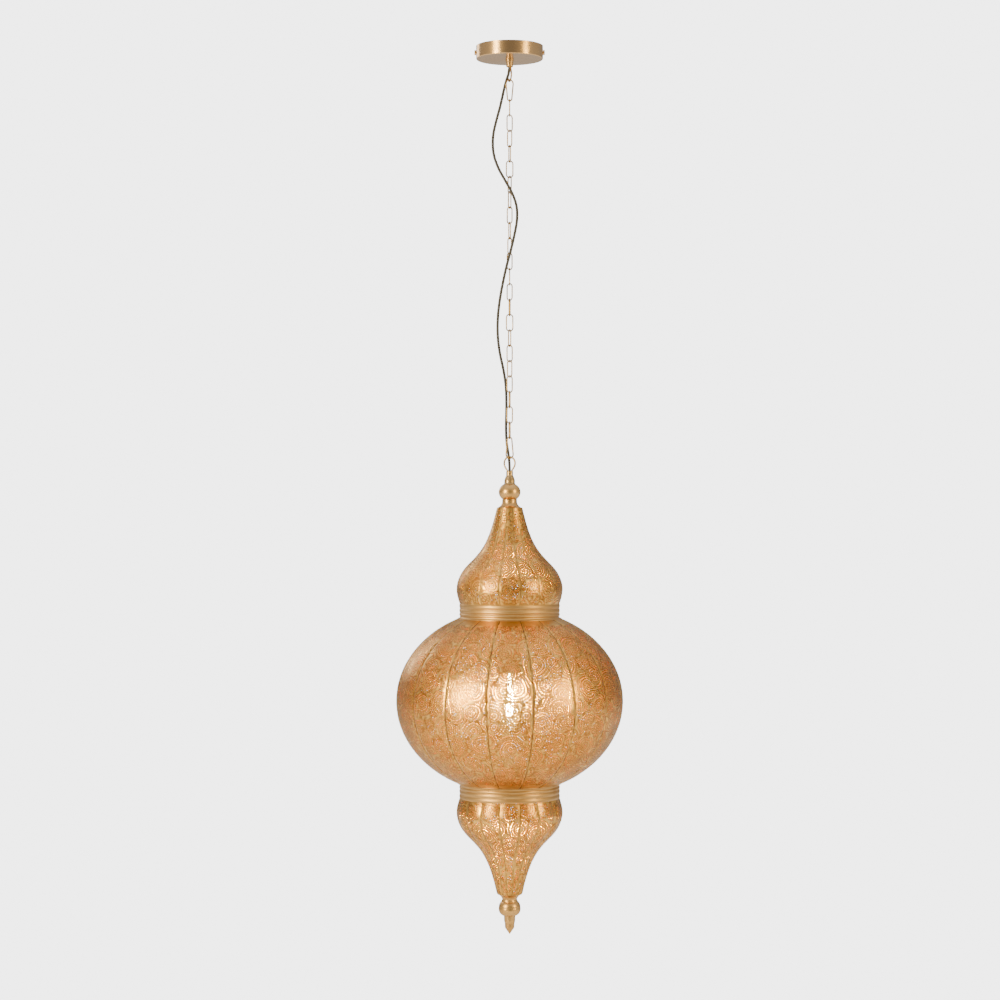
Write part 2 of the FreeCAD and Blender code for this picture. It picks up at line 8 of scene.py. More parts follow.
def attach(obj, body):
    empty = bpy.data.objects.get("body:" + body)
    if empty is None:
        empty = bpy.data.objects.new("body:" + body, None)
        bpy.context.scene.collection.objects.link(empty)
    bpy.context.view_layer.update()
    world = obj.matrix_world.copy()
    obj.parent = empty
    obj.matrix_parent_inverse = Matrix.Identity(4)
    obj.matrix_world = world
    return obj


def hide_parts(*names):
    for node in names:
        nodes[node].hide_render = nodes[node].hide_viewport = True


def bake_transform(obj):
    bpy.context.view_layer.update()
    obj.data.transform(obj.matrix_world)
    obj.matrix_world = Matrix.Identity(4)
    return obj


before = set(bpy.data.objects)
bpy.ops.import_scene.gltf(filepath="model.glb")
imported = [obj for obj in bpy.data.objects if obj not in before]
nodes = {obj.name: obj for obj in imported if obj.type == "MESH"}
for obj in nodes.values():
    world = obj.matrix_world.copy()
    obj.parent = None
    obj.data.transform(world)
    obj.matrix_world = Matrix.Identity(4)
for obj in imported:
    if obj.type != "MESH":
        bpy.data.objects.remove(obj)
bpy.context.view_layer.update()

# A hanging lantern of pierced brass. The canopy's ceiling face is the origin and everything hangs below it.
# All lengths are in metres.
scene = bpy.context.scene
sharpAngle = math.radians(38)
print("frame loaded with", len(nodes), "nodes")


def meshFrom(name, points, triangles, uv=None, sides=None, tone=None):
    # Puts whole arrays of points and triangles into a new object at the origin. sides numbers each triangle's
    # finish, and tone is a value at each point for the finish to read: on the sheets, how much painted shade
    # it gets.
    mesh = bpy.data.meshes.new(name)
    mesh.vertices.add(len(points))
    mesh.vertices.foreach_set("co", np.asarray(points, np.float32).ravel())
    mesh.loops.add(triangles.size)
    mesh.loops.foreach_set("vertex_index", triangles.ravel().astype(np.int32))
    mesh.polygons.add(len(triangles))
    mesh.polygons.foreach_set("loop_start", (np.arange(len(triangles)) * 3).astype(np.int32))
    if uv is not None:
        layer = mesh.uv_layers.new(name="UVMap")
        layer.data.foreach_set("uv", uv[triangles.ravel()].astype(np.float32).ravel())
    if sides is not None:
        mesh.polygons.foreach_set("material_index", sides.astype(np.int32))
    if tone is not None:
        mesh.attributes.new("tone", "FLOAT", "POINT").data.foreach_set("value", tone.astype(np.float32))
    mesh.update(calc_edges=True)
    mesh.validate()
    mesh.shade_smooth()
    mesh.set_sharp_from_angle(angle=sharpAngle)
    obj = bpy.data.objects.new(name, mesh)
    scene.collection.objects.link(obj)
    return obj


def gridTriangles(rows, columns, closed):
    # Two triangles for every cell of a grid of rows by columns points. closed joins the last column to the
    # first.
    i, j = np.meshgrid(np.arange(rows - 1), np.arange(columns if closed else columns - 1), indexing="ij")
    i, j = i.ravel(), j.ravel()
    k = (j + 1) % columns
    a, b, c, d = i * columns + j, i * columns + k, (i + 1) * columns + k, (i + 1) * columns + j
    return np.concatenate([np.stack([a, b, c], 1), np.stack([a, c, d], 1)])


def splineThrough(points, count):
    # A natural cubic spline through (radius, height) points, by chord length, at evenly spaced places.
    p = np.array(points, float)
    t = np.concatenate([[0], np.cumsum(np.hypot(*np.diff(p, axis=0).T))])
    h = np.diff(t)
    n = len(p)
    m = np.eye(n)
    rhs = np.zeros((n, 2))
    for i in range(1, n - 1):
        m[i, i - 1:i + 2] = h[i - 1], 2 * (h[i - 1] + h[i]), h[i]
        rhs[i] = 6 * ((p[i + 1] - p[i]) / h[i] - (p[i] - p[i - 1]) / h[i - 1])
    c = np.linalg.solve(m, rhs)
    x = np.linspace(0, t[-1], count)
    k = np.clip(np.searchsorted(t, x, side="right") - 1, 0, n - 2)
    a, b, w = (t[k + 1] - x)[:, None], (x - t[k])[:, None], h[k][:, None]
    return (c[k] * a**3 + c[k + 1] * b**3) / (6 * w) + (p[k] / w - c[k] * w / 6) * a \
        + (p[k + 1] / w - c[k + 1] * w / 6) * b


class Outline:
    # The side of a turned shell: radius, height and the way out, each against the length run down the side.
    def __init__(self, points):
        self.r, self.z = points[:, 0], points[:, 1]
        self.s = np.concatenate([[0], np.cumsum(np.hypot(np.diff(self.r), np.diff(self.z)))])
        self.length = self.s[-1]
        dr, dz = np.gradient(self.r, self.s), np.gradient(self.z, self.s)
        size = np.hypot(dr, dz)
        self.nr, self.nz = -dz / size, dr / size

    def at(self, s):
        return [np.interp(s, self.s, v) for v in (self.r, self.z, self.nr, self.nz)]


sheetLook = {
    "gores": 16,
    "thickness": 0.0008,
    "centreSpacing": 0.040,
    "centreStray": 0.32,  # how far a centre may stray, as a share of the spacing
    "centreReach": 0.046,  # radius of the outermost ring
    "centreWeight": 0.014,
    "pastEdge": 0.06,  # centres this far past a gore still send rings into it
    "ringPitch": 0.0046,
    "dotPitch": 0.0030,
    "ridgeSpread": 1.3,  # ridge points are this many times farther apart than dots
    "holeRadius": 0.00104,
    "smallHoleRadius": 0.00078,
    "leastHole": 0.0006,
    "holeCorners": 6,
    "bridge": 0.00032,  # half of the metal left between two scrolls
    "ridgeRoom": 0.0011,
    "warp": 0.0017,
    "warpLength": 0.052,
    "emboss": 0.00022,
    "dentSpread": 0.3,
    "rowStep": 0.0045,
    "rimStep": 0.007,
    "fillRoom": 0.0025,  # plain points keep this far from dots and ridges
    "fillReach": 0.94,  # and this share of the way from the middle to the rim
    "narrowMargin": 0.30,  # where a gore is narrow, its plain margin is this share of its half width
    "taperRadius": 0.05,  # seams get shallower where the shell is narrower than this
}
# Painted shade and height of the points on a gore's rim, its holes, its ridges and the plain sheet between. A
# tone below one darkens the sheet's colour as painted shade: most in the low ground round the holes, then in
# the seam dips along the rim, less on the plain sheet, and none on the raised ridges. A height is a share of
# the emboss.
pointShadeTones = (0.30, 0.0, 1.0, 0.55)
pointHeights = (0.0, -0.6, 1.0, 0.0)


def patternCentres(width, length, rng):
    # Centres of the scrolls: a three-cornered lattice, whose rows lie the sine of 60 degrees apart, with
    # every point moved a little at random.
    d = sheetLook["centreSpacing"]
    rise = 0.866
    rows = int(length / (d * rise)) + 4
    columns = int(width / d) + 4
    j, i = np.meshgrid(np.arange(rows), np.arange(columns), indexing="ij")
    x = (i + 0.5 * (j % 2) - 1.5) * d
    y = (j - 1.5) * d * rise
    stray = sheetLook["centreStray"]
    move = rng.uniform(-stray, stray, (2,) + x.shape) * d
    return np.stack([(x + move[0]).ravel(), (y + move[1]).ravel()], 1)


def scrollDots(centres, turns, weights, left, right, length, shrink):
    # Dots on rings round each centre, with a raised ridge halfway between one ring and the next. A ring is
    # kept where its own centre is the nearest one once its weight is taken off, and its dots shrink where
    # another centre's rings come close. Slow sine waves push the rings a little out of round. A ridge's
    # points have size nought.
    look = sheetLook
    near = (centres[:, 0] > left - look["pastEdge"]) & (centres[:, 0] < right + look["pastEdge"])
    centres, turns, weights = centres[near], turns[near], weights[near]
    radius, angle, size = [0.0], [0.0], [look["holeRadius"]]
    for k in range(1, 2 * int(look["centreReach"] / look["ringPitch"])):
        r = k * look["ringPitch"] / 2
        ridge = k % 2 == 1
        hole = look["smallHoleRadius"] if k % 6 == 4 else look["holeRadius"]
        count = max(4, round(2 * math.pi * r / (look["dotPitch"] * (look["ridgeSpread"] if ridge else 1.0))))
        radius += [r] * count
        angle += [2 * math.pi * (n + 0.5 * (k % 4 == 2)) / count for n in range(count)]
        size += [0.0 if ridge else hole] * count
    radius, angle, size = np.array(radius), np.array(angle), np.array(size)
    a = angle[None] + turns[:, None]
    dots = centres[:, None] + radius[None, :, None] * np.stack([np.cos(a), np.sin(a)], 2)
    wave = 2 * math.pi * dots / look["warpLength"]
    dots = dots + look["warp"] * np.stack([
        np.sin(wave[..., 1] + 1.3 * np.sin(0.7 * wave[..., 0])),
        np.sin(0.9 * wave[..., 0] + 1.1 * np.sin(0.8 * wave[..., 1]))], 2)
    size = np.broadcast_to(size, dots.shape[:2]).ravel()
    own = np.repeat(np.arange(len(centres)), len(radius))
    dots = dots.reshape(-1, 2)
    away = np.hypot(dots[:, None, 0] - centres[None, :, 0], dots[:, None, 1] - centres[None, :, 1]) - weights
    mine = away[np.arange(len(dots)), own].copy()
    away[np.arange(len(dots)), own] = math.inf
    room = (away.min(1) - mine) / 2 - look["bridge"]
    ridge = size == 0
    size = np.minimum(size * shrink, room)
    keep = np.where(ridge, room > look["ridgeRoom"], size > look["leastHole"])
    keep &= (dots[:, 0] > left) & (dots[:, 0] < right)
    keep &= (dots[:, 1] > 0) & (dots[:, 1] < length)
    return dots[keep], np.where(ridge, 0.0, size)[keep]


def goreDots(outline, gore, scrolls, shell):
    # The holes and ridge points of one gore, with u counted from its middle line: those that lie within its
    # edges, which are half a gore's angle times the radius away, less a margin.
    half = math.pi / sheetLook["gores"]
    width = 2 * half * outline.r.max()
    dots, size = scrollDots(*scrolls, gore * width, (gore + 1) * width, outline.length, shell["shrink"])
    dots = dots - [(gore + 0.5) * width, 0]
    edge = half * outline.at(dots[:, 1])[0]
    margin = np.minimum(shell["side"], sheetLook["narrowMargin"] * edge)
    keep = np.abs(dots[:, 0]) + size < edge - margin
    keep &= (dots[:, 1] > shell["top"]) & (dots[:, 1] < outline.length - shell["end"])
    hole = size > 0
    return dots[keep & hole], size[keep & hole], dots[keep & ~hole]


def flatGore(outline, dots, size, ridge, rng):
    # The flat gore: rim, six-cornered holes, ridges and plain points are joined by the least slender
    # triangles, and those that fill a hole or lie outside the rim are taken away.
    look = sheetLook
    half = math.pi / look["gores"]
    corners = look["holeCorners"]
    spin = rng.uniform(0, math.pi, len(dots))
    a = spin[:, None] + 2 * math.pi * np.arange(corners)[None] / corners
    holes = dots[:, None] + size[:, None, None] * np.stack([np.cos(a), np.sin(a)], 2)
    s = np.linspace(0, outline.length, max(12, int(outline.length / look["rowStep"])))
    edge = half * outline.at(s)[0]
    across = max(4, int(2 * edge.max() / look["rimStep"]))
    ends = np.linspace(-1, 1, across)[1:-1]
    rim = np.concatenate([
        np.stack([-edge, s], 1),
        np.stack([ends * edge[-1], np.full(len(ends), s[-1])], 1),
        np.stack([edge, s], 1)[::-1],
        np.stack([-ends * edge[0], np.full(len(ends), s[0])], 1),
    ])
    reach = look["fillReach"]
    gu, gs = np.meshgrid(np.linspace(-reach, reach, across + 4), s[1:-1], indexing="ij")
    fill = np.stack([(gu * half * outline.at(gs)[0]).ravel(), gs.ravel()], 1)
    marks = np.concatenate([dots, ridge])
    if len(marks):
        gap = np.hypot(fill[:, None, 0] - marks[None, :, 0], fill[:, None, 1] - marks[None, :, 1])
        fill = fill[gap.min(1) > look["fillRoom"]]

    flat = np.concatenate([rim, holes.reshape(-1, 2), ridge, fill])
    count = [len(rim), corners * len(dots), len(ridge), len(fill)]
    n = len(rim)
    cut = slice(n, n + count[1])
    group = np.full(len(flat), -1)
    group[cut] = np.repeat(np.arange(len(dots)), corners)
    raised = np.repeat(pointHeights, count)
    raised[cut] += np.repeat(rng.uniform(-look["dentSpread"], look["dentSpread"], len(dots)), corners)
    # how much painted shade each point gets, by the kind of point it is
    tone = np.repeat(pointShadeTones, count)
    k = np.arange(corners)[None]
    first = n + corners * np.arange(len(dots))[:, None] + k
    after = n + corners * np.arange(len(dots))[:, None] + (k + 1) % corners
    lines = np.concatenate([
        np.stack([np.arange(n), (np.arange(n) + 1) % n], 1),
        np.stack([first.ravel(), after.ravel()], 1),
    ])
    made = delaunay_2d_cdt([Vector(p) for p in flat.tolist()], lines.tolist(), [], 0, 1e-7)
    flat = np.array([v[:] for v in made[0]])
    source = np.array([ids[0] if ids else -1 for ids in made[3]])
    group = np.where(source >= 0, group[source], -1)
    raised = np.where(source >= 0, raised[source], 0)
    tone = np.where(source >= 0, tone[source], pointShadeTones[0])
    tri = np.array(made[2])
    g = group[tri]
    middle = flat[tri].mean(1)
    inside = np.abs(middle[:, 0]) < np.interp(middle[:, 1], s, edge) + 1e-7
    tri = tri[~((g[:, 0] >= 0) & (g[:, 0] == g[:, 1]) & (g[:, 0] == g[:, 2])) & inside]
    used, tri = np.unique(tri, return_inverse=True)
    return flat[used], tri.reshape(-1, 3), raised[used], tone[used]


def gorePanel(outline, gore, scrolls, shell, rng):
    # One gore as a closed sheet: the flat gore is laid round the shell, where u over the radius is the turn
    # and s gives radius and height, then dips towards its seams, and gets a back and walls.
    look = sheetLook
    half = math.pi / look["gores"]
    flat, tri, raised, tone = flatGore(outline, *goreDots(outline, gore, scrolls, shell), rng)
    r, z, nr, nz = outline.at(flat[:, 1])
    phi = flat[:, 0] / r
    toSeam = np.clip((half * r - np.abs(flat[:, 0])) / np.minimum(shell["seamWidth"], half * r), 0, 1)
    dip = shell["seamDepth"] * np.minimum(1, r / look["taperRadius"]) * (1 - toSeam) ** 2
    lift = raised * look["emboss"] * toSeam - dip
    turn = 2 * gore * half + phi
    out = np.stack([nr * np.sin(turn), -nr * np.cos(turn), nz], 1)
    skin = np.stack([r * np.sin(turn), -r * np.cos(turn), z], 1) + out * lift[:, None]
    back = skin - out * look["thickness"]
    p = skin[tri]
    facing = np.einsum("ij,ij->i", np.cross(p[:, 1] - p[:, 0], p[:, 2] - p[:, 0]), out[tri[:, 0]])
    tri = np.where((facing < 0)[:, None], tri[:, ::-1], tri)
    # a wall stands on every edge that only one triangle has
    edges = np.concatenate([tri[:, [0, 1]], tri[:, [1, 2]], tri[:, [2, 0]]])
    count = len(flat)
    key, opposite = edges[:, 0] * count + edges[:, 1], edges[:, 1] * count + edges[:, 0]
    a, b = edges[~np.isin(key, opposite)].T
    wall = np.concatenate([np.stack([b, a, a + count], 1), np.stack([b, a + count, b + count], 1)])
    sides = np.concatenate([np.zeros(len(tri)), np.ones(len(tri)), np.zeros(len(wall))])
    faces = np.concatenate([tri, tri[:, ::-1] + count, wall])
    return np.concatenate([skin, back]), faces, sides, np.concatenate([tone, tone])


def piercedShell(name, outline, shell, seed, groups):
    # All gores of a shell, shared out over one object or more.
    rng = np.random.default_rng(seed)
    gores = sheetLook["gores"]
    width = 2 * math.pi * outline.r.max()
    centres = patternCentres(width, outline.length, rng)
    turns = rng.uniform(0, 2 * math.pi, len(centres))
    weights = rng.uniform(0, sheetLook["centreWeight"], len(centres))
    scrolls = (centres, turns, weights)
    objects, total = [], 0
    for part in range(groups):
        points, faces, sides, shadeTones, start = [], [], [], [], 0
        for gore in range(part * gores // groups, (part + 1) * gores // groups):
            panel, triangles, side, tone = gorePanel(outline, gore, scrolls, shell, rng)
            points.append(panel)
            faces.append(triangles + start)
            sides.append(side)
            shadeTones.append(tone)
            start += len(panel)
        obj = meshFrom(name + "Sheet%d" % (part + 1), np.concatenate(points), np.concatenate(faces),
                       sides=np.concatenate(sides), tone=np.concatenate(shadeTones))
        objects.append(obj)
        total += len(obj.data.polygons)
    print(name, "sheet has", total, "triangles")
    return objects


solder = {
    "endGap": 0.0005,
    "rings": 150,
    "corners": 7,
    "knotStep": 0.006,  # how often the bead changes
    "swell": (0.35, 1.25),
    "rise": (-0.7, 1.0),
    "wander": 0.0007,
    "bury": 0.4,  # how deep the whole bead lies, as a share of its height
    "foot": 0.6,  # and how far its foot reaches below that
}


def seamBeads(name, outline, shell, seed):
    # A low, uneven bead of solder down every seam: half a round carried down the side of the shell, which
    # wanders, swells and here and there sinks into the sheet.
    gores = sheetLook["gores"]
    rng = np.random.default_rng(seed)
    s = np.linspace(solder["endGap"], outline.length - solder["endGap"], solder["rings"])
    r, z, nr, nz = outline.at(s)
    valley = shell["seamDepth"] * np.minimum(1, r / sheetLook["taperRadius"])
    a = np.linspace(0, math.pi, solder["corners"])
    tri = gridTriangles(len(s), len(a) + 1, True)
    caps = np.array([[0, i + 1, i] for i in range(1, len(a))])
    far = (len(s) - 1) * (len(a) + 1)
    tri = np.concatenate([tri, caps, caps[:, ::-1] + far])
    knots = np.linspace(0, outline.length, int(outline.length / solder["knotStep"]))
    points, faces = [], []
    for gore in range(gores):
        swell = np.interp(s, knots, rng.uniform(*solder["swell"], len(knots)))
        rise = np.interp(s, knots, rng.uniform(*solder["rise"], len(knots)))
        wander = np.interp(s, knots, rng.uniform(-solder["wander"], solder["wander"], len(knots)))
        across = np.concatenate([np.cos(a), [0.0]])[None] * (shell["bead"] / 2 * swell)[:, None]
        across = across + wander[:, None]
        up = np.concatenate([np.sin(a), [-solder["foot"]]])[None] + (rise - solder["bury"])[:, None]
        up = up * shell["beadHeight"] - valley[:, None]
        turn = 2 * math.pi * (gore + 0.5) / gores + across / r[:, None]
        rr = r[:, None] + nr[:, None] * up
        grid = np.stack([rr * np.sin(turn), -rr * np.cos(turn), z[:, None] + nz[:, None] * up], 2)
        points.append(grid.reshape(-1, 3))
        faces.append(tri + gore * grid.shape[0] * grid.shape[1])
    return meshFrom(name + "Seams", np.concatenate(points), np.concatenate(faces))


onion = {"rim": 0.0880, "belly": 0.0936, "end": 0.0225, "height": 0.1695}
bodyHeights = {
    "domeLow": -0.9850, "upperJoint": -1.0105, "lowerJoint": -1.3019, "bowlTop": -1.3274,
    "globeRadius": 0.200, "globeHalf": 0.163,
}


def onionOutline(rimHeight, way):
    # The side of dome or bowl from its rim to its narrow end, through listed places.
    rim, belly, end, h = onion["rim"], onion["belly"], onion["end"], onion["height"]
    side = [
        (rim, 0.0), (belly, 0.14 * h), (end + 0.83 * (belly - end), 0.35 * h),
        (end + 0.60 * (belly - end), 0.455 * h), (end + 0.39 * (belly - end), 0.56 * h),
        (end + 0.15 * (belly - end), 0.77 * h), (end, h),
    ]
    return [(r, rimHeight + way * z) for r, z in side]


def globeOutline():
    # An ellipse between the two joints.
    h = bodyHeights
    middle = (h["upperJoint"] + h["lowerJoint"]) / 2
    top = math.asin((h["upperJoint"] - middle) / h["globeHalf"])
    a = np.linspace(top, -top, 240)
    return np.stack([h["globeRadius"] * np.cos(a), middle + h["globeHalf"] * np.sin(a)], 1)


domeSide = Outline(splineThrough(onionOutline(bodyHeights["domeLow"], 1), 160)[::-1])
bowlSide = Outline(splineThrough(onionOutline(bodyHeights["bowlTop"], -1), 160))
globeSide = Outline(globeOutline())

domeShell = {
    "side": 0.0014, "top": 0.004, "end": 0.003, "seamDepth": 0.0003, "seamWidth": 0.004,
    "bead": 0.0009, "beadHeight": 0.0002, "shrink": 0.86,
}
globeShell = {
    "side": 0.0019, "top": 0.022, "end": 0.020, "seamDepth": 0.0009, "seamWidth": 0.005,
    "bead": 0.0024, "beadHeight": 0.0005, "shrink": 0.95,
}
bowlShell = {
    "side": 0.0014, "top": 0.003, "end": 0.004, "seamDepth": 0.0017, "seamWidth": 0.018,
    "bead": 0.0010, "beadHeight": 0.0003, "shrink": 0.90,
}
domeParts = piercedShell("dome", domeSide, domeShell, 11, 1)
globeParts = piercedShell("globe", globeSide, globeShell, 23, 4)
bowlParts = piercedShell("bowl", bowlSide, bowlShell, 37, 1)
domeParts.append(seamBeads("dome", domeSide, domeShell, 12))
globeParts.append(seamBeads("globe", globeSide, globeShell, 24))
bowlParts.append(seamBeads("bowl", bowlSide, bowlShell, 38))
sheets = [(domeParts, "dome", "lantern"), (globeParts, "globe", "lantern"), (bowlParts, "bowl", "bowl")]
for parts, node, body in sheets:
    for part in parts:
        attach(part, body)
    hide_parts(node)
print("pierced sheets done")

cordRoute = {
    "diameter": 0.0048,
    "points": [
        (0, 0, -0.029), (0, 0, -0.045), (-0.0065, 0.0015, -0.062), (-0.0115, 0.004, -0.083),
        (-0.0165, 0.0055, -0.106), (-0.0235, 0.0045, -0.131), (-0.030, 0.001, -0.159),
        (-0.0295, -0.004, -0.190), (-0.0205, -0.009, -0.217), (-0.0075, -0.0125, -0.240),
        (0.005, -0.013, -0.262), (0.013, -0.0105, -0.284), (0.0135, -0.0095, -0.309),
        (0.0085, -0.012, -0.335), (0.0025, -0.013, -0.361), (-0.0045, -0.0125, -0.386),
        (-0.0105, -0.009, -0.412), (-0.0165, -0.0035, -0.442), (-0.021, 0.002, -0.476),
        (-0.0215, 0.006, -0.511), (-0.0175, 0.0085, -0.543), (-0.0105, 0.010, -0.572),
        (-0.006, 0.011, -0.603), (-0.0055, 0.0115, -0.641), (-0.0065, 0.011, -0.672),
        (-0.0055, 0.010, -0.701), (-0.0012, 0.0072, -0.7255), (0, 0, -0.7435), (0, 0, -0.757),
    ],
    "strands": 12,
    "weave": 330.0,  # crossings of the strands in a metre
    "ringStep": 0.002,
    "columns": 24,
    "cuts": [-0.080, -0.675, -0.712],  # where one stretch hands over to the next
    "bodies": [
        ("canopy", "upper_connector"), ("upper_connector", "chain"),
        ("chain", "lower_connector"), ("lower_connector", "lantern"),
    ],
}


def smoothRoute(points):
    # The points of a smooth curve that the cord follows.
    curve = bpy.data.curves.new("cordLine", "CURVE")
    curve.dimensions = "3D"
    curve.resolution_u = 12
    line = curve.splines.new("NURBS")
    line.points.add(len(points) - 1)
    line.points.foreach_set("co", np.array([(*p, 1.0) for p in points]).ravel())
    line.order_u = 3
    line.use_endpoint_u = True
    obj = bpy.data.objects.new("cordLine", curve)
    scene.collection.objects.link(obj)
    bpy.context.view_layer.update()
    made = obj.to_mesh()
    path = np.array([v.co[:] for v in made.vertices])
    obj.to_mesh_clear()
    bpy.data.objects.remove(obj)
    return path[np.argsort(-path[:, 2])]


def cordTube(ring, middle, steps):
    # A closed tube from rows of rings, with u round it and v along it. The first column is given twice, so
    # that the weave closes, and each end is a fan about its middle point.
    rows, columns = ring.shape[0], ring.shape[1]
    ring = np.concatenate([ring, ring[:, :1]], 1)
    u, v = np.meshgrid(np.arange(columns + 1) / columns, steps, indexing="xy")
    points = np.concatenate([ring.reshape(-1, 3), middle])
    uv = np.concatenate([np.stack([u.ravel(), v.ravel()], 1), [[0.5, steps[0]], [0.5, steps[-1]]]])
    k = np.arange(columns)
    far = (rows - 1) * (columns + 1)
    fans = np.concatenate([
        np.stack([k + 1, k, np.full(columns, rows * (columns + 1))], 1),
        np.stack([k + far, k + 1 + far, np.full(columns, rows * (columns + 1) + 1)], 1),
    ])
    return points, np.concatenate([gridTriangles(rows, columns + 1, False), fans]), uv


def cordStretches():
    # A round section carried along the smooth line, square to it and without a twist. A stretch ends on the
    # ring where the next begins.
    path = smoothRoute(cordRoute["points"])
    run = np.concatenate([[0], np.cumsum(np.linalg.norm(np.diff(path, axis=0), axis=1))])
    steps = np.linspace(0, run[-1], int(run[-1] / cordRoute["ringStep"]))
    path = np.stack([np.interp(steps, run, path[:, i]) for i in range(3)], 1)
    ahead = np.gradient(path, axis=0)
    ahead /= np.linalg.norm(ahead, axis=1)[:, None]
    side = np.cross(ahead, [0.0, 1.0, 0.0])
    side /= np.linalg.norm(side, axis=1)[:, None]
    other = np.cross(ahead, side)
    a = (2 * math.pi * np.arange(cordRoute["columns"]) / cordRoute["columns"])[None, :, None]
    radius = cordRoute["diameter"] / 2
    rings = path[:, None] + radius * (np.cos(a) * side[:, None] + np.sin(a) * other[:, None])
    cuts = [int(np.argmin(np.abs(path[:, 2] - cut))) for cut in cordRoute["cuts"]]
    ends = [0] + cuts + [len(path) - 1]
    made = []
    for i, (start, end) in enumerate(zip(ends, ends[1:])):
        middle = np.stack([path[start], path[end]])
        obj = meshFrom("cord%d" % (i + 1), *cordTube(rings[start:end + 1], middle, steps[start:end + 1]))
        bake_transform(obj)
        made.append(obj)
    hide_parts("supply_cord")
    print("cord", round(float(run[-1]), 4), "m long in", len(made), "stretches")
    return made


cordParts = cordStretches()


def addSocket(group, name, kind, way, value=None):
    socket = group.interface.new_socket(name=name, in_out=way, socket_type=kind)
    if value is not None:
        socket.default_value = value
    return socket


def makePatinaGroup():
    # Metal that has darkened unevenly: wide soft clouds, and a fine grain that may be drawn out along one
    # way. The tarnish is 0.65 of the clouds and 0.35 of the grain.
    group = bpy.data.node_groups.new("patina", "ShaderNodeTree")
    addSocket(group, "Clean", "NodeSocketColor", "INPUT")
    addSocket(group, "Tarnished", "NodeSocketColor", "INPUT")
    addSocket(group, "Cloud scale", "NodeSocketFloat", "INPUT", 20.0)
    addSocket(group, "Grain scale", "NodeSocketFloat", "INPUT", 400.0)
    addSocket(group, "Grain stretch", "NodeSocketVector", "INPUT", (1.0, 1.0, 1.0))
    addSocket(group, "Smooth", "NodeSocketFloat", "INPUT", 0.25)
    addSocket(group, "Rough", "NodeSocketFloat", "INPUT", 0.45)
    addSocket(group, "Colour", "NodeSocketColor", "OUTPUT")
    addSocket(group, "Roughness", "NodeSocketFloat", "OUTPUT")
    addSocket(group, "Height", "NodeSocketFloat", "OUTPUT")
    n, link = group.nodes, group.links.new
    given, out = n.new("NodeGroupInput"), n.new("NodeGroupOutput")
    place = n.new("ShaderNodeTexCoord")
    cloud = n.new("ShaderNodeTexNoise")
    cloud.inputs["Detail"].default_value = 4.0
    link(place.outputs["Object"], cloud.inputs["Vector"])
    link(given.outputs["Cloud scale"], cloud.inputs["Scale"])
    stretch = n.new("ShaderNodeVectorMath")
    stretch.operation = "MULTIPLY"
    link(place.outputs["Object"], stretch.inputs[0])
    link(given.outputs["Grain stretch"], stretch.inputs[1])
    grain = n.new("ShaderNodeTexNoise")
    grain.inputs["Detail"].default_value = 3.0
    link(stretch.outputs["Vector"], grain.inputs["Vector"])
    link(given.outputs["Grain scale"], grain.inputs["Scale"])
    spread = n.new("ShaderNodeMapRange")
    spread.inputs["From Min"].default_value = 0.36
    spread.inputs["From Max"].default_value = 0.68
    link(cloud.outputs["Fac"], spread.inputs["Value"])
    both = n.new("ShaderNodeMath")
    both.operation = "MULTIPLY_ADD"
    both.inputs[1].default_value = 0.35
    link(grain.outputs["Fac"], both.inputs[0])
    half = n.new("ShaderNodeMath")
    half.operation = "MULTIPLY"
    half.inputs[1].default_value = 0.65
    link(spread.outputs["Result"], half.inputs[0])
    link(half.outputs["Value"], both.inputs[2])
    mix = n.new("ShaderNodeMix")
    mix.data_type = "RGBA"
    link(both.outputs["Value"], mix.inputs["Factor"])
    link(given.outputs["Clean"], mix.inputs[6])
    link(given.outputs["Tarnished"], mix.inputs[7])
    rough = n.new("ShaderNodeMix")
    link(both.outputs["Value"], rough.inputs["Factor"])
    link(given.outputs["Smooth"], rough.inputs[2])
    link(given.outputs["Rough"], rough.inputs[3])
    link(mix.outputs[2], out.inputs["Colour"])
    link(rough.outputs[0], out.inputs["Roughness"])
    link(grain.outputs["Fac"], out.inputs["Height"])
    return group


patinaGroup = makePatinaGroup()


def newMaterial(name, metallic=0.0):
    material = bpy.data.materials.new(name)
    material.use_nodes = True
    shader = material.node_tree.nodes["Principled BSDF"]
    shader.inputs["Metallic"].default_value = metallic
    return material, material.node_tree, shader


def metal(name, clean, tarnished, smooth, rough, cloud=22.0, grain=420.0, stretch=(1, 1, 1), bump=0.04):
    material, tree, shader = newMaterial(name, 1.0)
    patina = tree.nodes.new("ShaderNodeGroup")
    patina.node_tree = patinaGroup
    patina.inputs["Clean"].default_value = (*clean, 1)
    patina.inputs["Tarnished"].default_value = (*tarnished, 1)
    patina.inputs["Cloud scale"].default_value = cloud
    patina.inputs["Grain scale"].default_value = grain
    patina.inputs["Grain stretch"].default_value = stretch
    patina.inputs["Smooth"].default_value = smooth
    patina.inputs["Rough"].default_value = rough
    link = tree.links.new
    link(patina.outputs["Colour"], shader.inputs["Base Color"])
    link(patina.outputs["Roughness"], shader.inputs["Roughness"])
    uneven = tree.nodes.new("ShaderNodeBump")
    uneven.inputs["Strength"].default_value = bump
    uneven.inputs["Distance"].default_value = 0.0005
    link(patina.outputs["Height"], uneven.inputs["Height"])
    link(uneven.outputs["Normal"], shader.inputs["Normal"])
    return material


